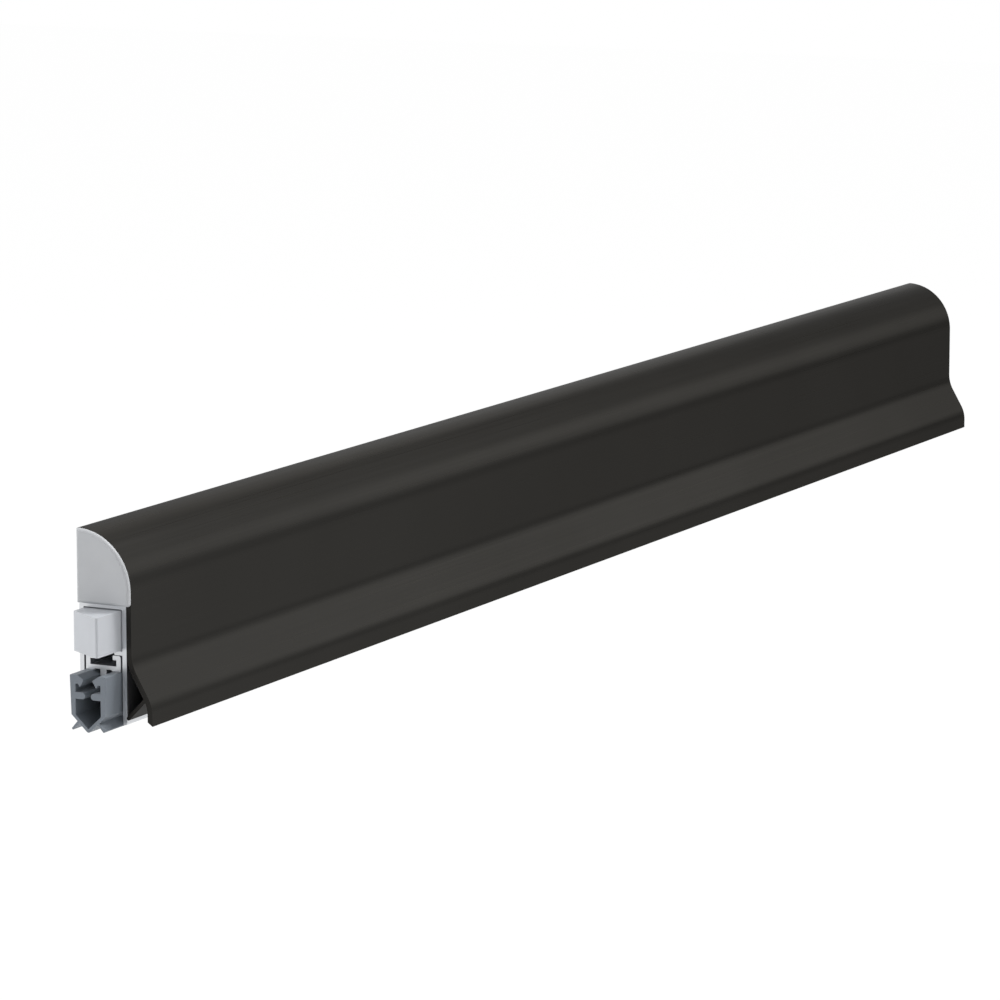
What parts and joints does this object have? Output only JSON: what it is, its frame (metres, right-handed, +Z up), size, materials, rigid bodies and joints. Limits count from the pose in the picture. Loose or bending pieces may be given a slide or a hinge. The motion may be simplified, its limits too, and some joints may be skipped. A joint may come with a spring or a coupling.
{
  "type": "automatic door bottom seal",
  "caption": "Surface-fixed drop-down door bottom seal: a sprung button at one end lowers a rubber gasket from a covered aluminium housing.",
  "frame": {"origin": "on the door's face at mid length, level with the housing's lower edge", "axes": "+X along the door away from the button end, +Y into the door, +Z up; the seal stands out towards -Y"},
  "size_m": [0.6509, 0.0243, 0.0578],
  "materials": {
    "bronze_anodised_cover": "satin dark bronze anodised",
    "natural_anodised_profiles": "satin natural anodised",
    "grey_moulded_caps": "fine moulded grey",
    "grey_moulded_button": "smooth moulded grey",
    "grey_rubber": "extruded matt",
    "zinc_plated_steel": "zinc plated",
    "spring_steel": "bright rolled",
    "black_moulded_blocks": "moulded acetal",
    "aluminium_rivets": "plain"
  },
  "bodies": {
    "housing": {"housing_profile": "natural_anodised_profiles", "cover_profile": "bronze_anodised_cover", "button_end_cap": "grey_moulded_caps", "far_end_cap": "grey_moulded_caps", "spring_anchor_1": "black_moulded_blocks", "spring_anchor_2": "black_moulded_blocks", "anchor_screw_1": "zinc_plated_steel", "anchor_screw_2": "zinc_plated_steel", "anchor_rivet_1": "aluminium_rivets", "anchor_rivet_2": "aluminium_rivets", "leaf_spring_1": "spring_steel", "leaf_spring_2": "spring_steel"},
    "plunger": {"push_button": "grey_moulded_button", "button_lock_nut": "zinc_plated_steel", "push_rod": "zinc_plated_steel", "spring_slider_1": "black_moulded_blocks", "spring_slider_2": "black_moulded_blocks", "slider_grub_screw_1": "zinc_plated_steel", "slider_grub_screw_2": "zinc_plated_steel", "slider_rivet_1": "aluminium_rivets", "slider_rivet_2": "aluminium_rivets"},
    "seal_bar": {"drop_bar": "natural_anodised_profiles", "seal_gasket": "grey_rubber", "spring_shoe_1": "black_moulded_blocks", "spring_shoe_2": "black_moulded_blocks", "shoe_rivet_1": "aluminium_rivets", "shoe_rivet_2": "aluminium_rivets"}
  },
  "joints": [
    {"name": "button_press", "type": "slide", "parent": "housing", "child": "plunger", "axis": [1, 0, 0], "range_m": [0, 0.006], "stiffness_N_per_m": 2000, "springref_m": -0.003},
    {"name": "seal_drop", "type": "slide", "parent": "housing", "child": "seal_bar", "axis": [0.2425, 0, -0.9701], "range_m": [0, 0.01237], "deforming": ["leaf_spring_1", "leaf_spring_2"]}
  ],
  "couplings": [
    {"joint": "seal_drop", "follows": "button_press", "ratio": 2.0616}
  ]
}
